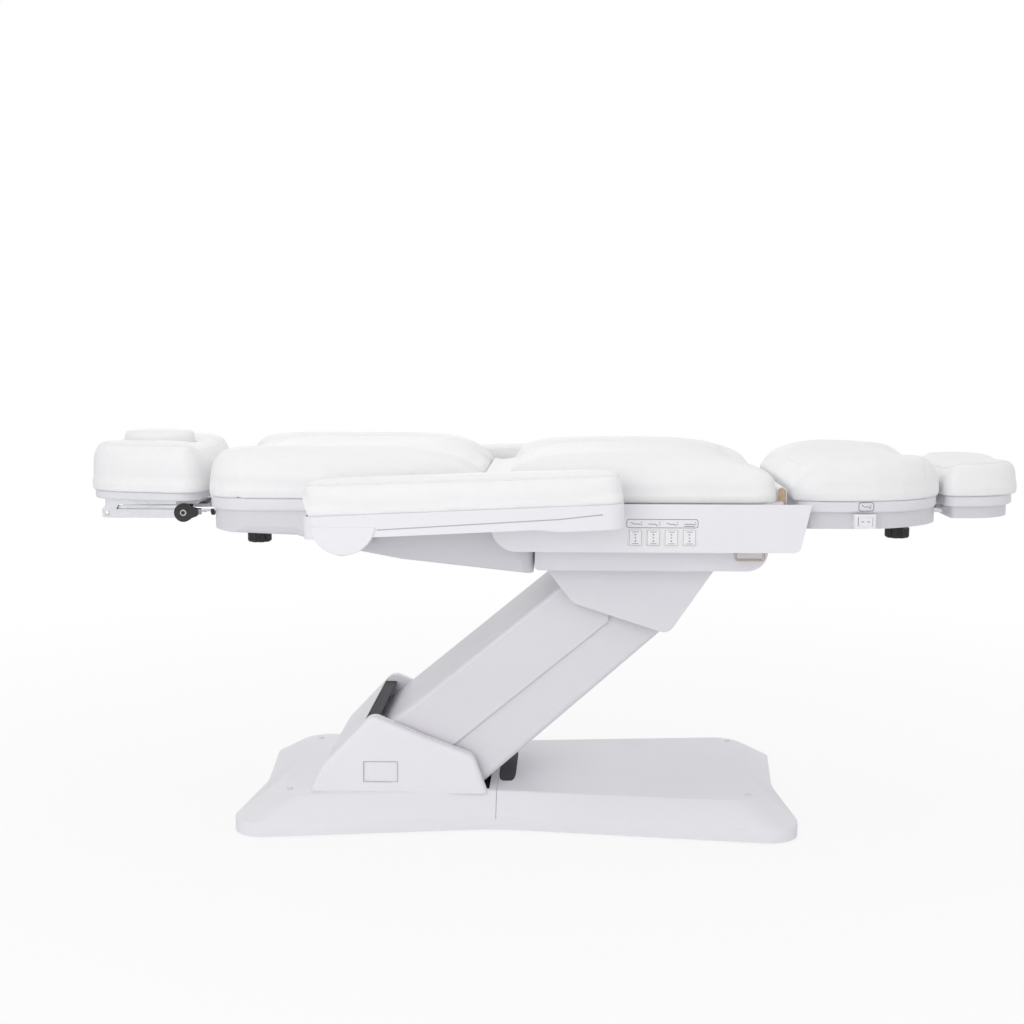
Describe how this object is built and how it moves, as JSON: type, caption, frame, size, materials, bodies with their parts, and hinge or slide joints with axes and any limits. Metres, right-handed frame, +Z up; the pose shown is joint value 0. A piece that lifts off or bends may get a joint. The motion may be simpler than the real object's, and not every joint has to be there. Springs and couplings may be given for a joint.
{
  "type": "tattoo chair",
  "caption": "Powered tattoo chair with separate padded head, back, seat, leg and foot sections, swing-over armrests and a lift arm on a low four-lobed base.",
  "frame": {"origin": "on the floor under the middle of the chair's length and width", "axes": "+X along the length to the foot end, +Y to the sitter's left, +Z up"},
  "size_m": [1.926, 0.86, 0.7873],
  "materials": {
    "white_leather": "satin",
    "white_plastic": "satin",
    "painted_steel": "satin",
    "zinc_steel": "satin",
    "chrome_tube": "polished",
    "black_plastic": "matte",
    "black_rubber": "matte",
    "dark_rubber": "matte",
    "plywood": "matte"
  },
  "bodies": {
    "base": {"base_cover_head": "white_plastic", "base_cover_foot": "white_plastic", "base_frame": "painted_steel", "base_feet": "black_rubber", "base_cover_screws": "zinc_steel", "base_gap_seal": "dark_rubber", "cord_gland": "black_plastic", "control_box": "black_plastic", "base_pivot_shafts": "zinc_steel"},
    "lower_arm": {"lower_link": "painted_steel", "lower_arm_cover": "white_plastic"},
    "upper_arm": {"upper_link": "painted_steel", "upper_arm_cover": "white_plastic"},
    "carriage": {"carriage_frame": "painted_steel", "carriage_shafts": "zinc_steel", "upper_shroud": "white_plastic", "seat_rest_pads": "black_rubber"},
    "seat": {"seat_frame": "painted_steel", "hinge_pins": "zinc_steel", "seat_shell": "white_plastic", "seat_under_cover": "white_plastic", "seat_board": "plywood", "seat_cushion": "white_leather", "switch_carrier": "white_plastic", "remote_hook": "zinc_steel", "gap_flap": "white_leather"},
    "button_one": {"button_1": "white_plastic"},
    "button_two": {"button_2": "white_plastic"},
    "button_three": {"button_3": "white_plastic"},
    "button_four": {"button_4": "white_plastic"},
    "back": {"back_frame": "painted_steel", "back_hinge_plates": "zinc_steel", "back_pan": "white_plastic", "back_board": "white_leather", "back_cushion": "white_leather", "armrest_brackets": "zinc_steel"},
    "back_clamp": {"back_knob": "black_plastic"},
    "armrest_right": {"armrest_right_shell": "white_plastic", "armrest_right_cushion": "white_leather"},
    "armrest_left": {"armrest_left_shell": "white_plastic", "armrest_left_cushion": "white_leather"},
    "head_carrier": {"head_rods": "chrome_tube"},
    "head_lock": {"head_cams": "black_plastic"},
    "head_arm": {"head_lower_arm": "zinc_steel"},
    "headrest": {"head_upper_plate": "zinc_steel", "head_board": "white_leather", "head_cushion": "white_leather"},
    "plug": {"face_plug": "white_leather"},
    "leg": {"leg_frame": "painted_steel", "leg_pan": "white_plastic", "leg_board": "white_leather", "leg_cushion": "white_leather", "leg_switch_housing": "white_plastic"},
    "leg_clamp": {"leg_knob": "black_plastic"},
    "leg_rocker": {"leg_switch_rocker": "white_plastic"},
    "foot": {"foot_rods": "chrome_tube", "foot_pan": "white_plastic", "foot_board": "white_leather", "foot_cushion": "white_leather"}
  },
  "joints": [
    {"name": "lift", "type": "hinge", "parent": "base", "child": "lower_arm", "pos_m": [-0.165, 0, 0.129], "axis": [0, -1, 0], "range_deg": [-24, 15]},
    {"name": "upper_arm_swing", "type": "hinge", "parent": "base", "child": "upper_arm", "pos_m": [-0.315, 0, 0.139], "axis": [0, -1, 0], "range_deg": [-24.2, 15.2]},
    {"name": "carriage_level", "type": "hinge", "parent": "lower_arm", "child": "carriage", "pos_m": [0.23682, 0, 0.45906], "axis": [0, -1, 0], "range_deg": [-15.2, 24.2]},
    {"name": "seat_tilt", "type": "hinge", "parent": "carriage", "child": "seat", "pos_m": [-0.008, 0, 0.545], "axis": [0, -1, 0], "range_deg": [0, 15]},
    {"name": "back_recline", "type": "hinge", "parent": "seat", "child": "back", "pos_m": [-0.105, 0, 0.69], "axis": [0, 1, 0], "range_deg": [0, 70]},
    {"name": "leg_fold", "type": "hinge", "parent": "seat", "child": "leg", "pos_m": [0.458, 0, 0.64], "axis": [0, 1, 0], "range_deg": [0, 80]},
    {"name": "foot_extension", "type": "slide", "parent": "leg", "child": "foot", "axis": [1, 0, 0], "range_m": [0, 0.15]},
    {"name": "foot_clamp_turn", "type": "hinge", "parent": "leg", "child": "leg_clamp", "pos_m": [0.724, 0, 0.58], "axis": [0, 0, 1], "continuous": true},
    {"name": "leg_switch_rock", "type": "hinge", "parent": "leg", "child": "leg_rocker", "pos_m": [0.601, -0.293, 0.634], "axis": [0, 0, 1], "range_deg": [-6, 6], "stiffness_Nm_per_rad": 0.5},
    {"name": "headrest_extension", "type": "slide", "parent": "back", "child": "head_carrier", "axis": [-1, 0, 0], "range_m": [0, 0.12]},
    {"name": "head_clamp_turn", "type": "hinge", "parent": "back", "child": "back_clamp", "pos_m": [-0.614, 0, 0.562], "axis": [0, 0, 1], "continuous": true},
    {"name": "head_lock_turn", "type": "hinge", "parent": "head_carrier", "child": "head_lock", "pos_m": [-0.752, 0, 0.622], "axis": [0, -1, 0], "range_deg": [0, 90]},
    {"name": "head_arm_tilt", "type": "hinge", "parent": "head_carrier", "child": "head_arm", "pos_m": [-0.752, 0, 0.622], "axis": [0, 1, 0], "range_deg": [-35, 0]},
    {"name": "headrest_tilt", "type": "hinge", "parent": "head_arm", "child": "headrest", "pos_m": [-0.914, 0, 0.624], "axis": [0, -1, 0], "range_deg": [0, 35]},
    {"name": "face_plug_lift", "type": "slide", "parent": "headrest", "child": "plug", "axis": [0, 0, 1], "range_m": [0, 0.13]},
    {"name": "armrest_right_swing", "type": "hinge", "parent": "back", "child": "armrest_right", "pos_m": [-0.375, -0.36, 0.612], "axis": [0, -1, 0], "range_deg": [0, 180]},
    {"name": "armrest_left_swing", "type": "hinge", "parent": "back", "child": "armrest_left", "pos_m": [-0.375, 0.36, 0.612], "axis": [0, -1, 0], "range_deg": [0, 180]},
    {"name": "button_one_rock", "type": "hinge", "parent": "seat", "child": "button_one", "pos_m": [0.1665, -0.3024, 0.6035], "axis": [1, 0, 0], "range_deg": [-5, 5], "stiffness_Nm_per_rad": 0.5},
    {"name": "button_two_rock", "type": "hinge", "parent": "seat", "child": "button_two", "pos_m": [0.2005, -0.3024, 0.6035], "axis": [1, 0, 0], "range_deg": [-5, 5], "stiffness_Nm_per_rad": 0.5},
    {"name": "button_three_rock", "type": "hinge", "parent": "seat", "child": "button_three", "pos_m": [0.2345, -0.3024, 0.6035], "axis": [1, 0, 0], "range_deg": [-5, 5], "stiffness_Nm_per_rad": 0.5},
    {"name": "button_four_rock", "type": "hinge", "parent": "seat", "child": "button_four", "pos_m": [0.2685, -0.3024, 0.6035], "axis": [1, 0, 0], "range_deg": [-5, 5], "stiffness_Nm_per_rad": 0.5}
  ],
  "couplings": [
    {"joint": "upper_arm_swing", "follows": "lift", "ratio": 1},
    {"joint": "carriage_level", "follows": "lift", "ratio": -1}
  ]
}
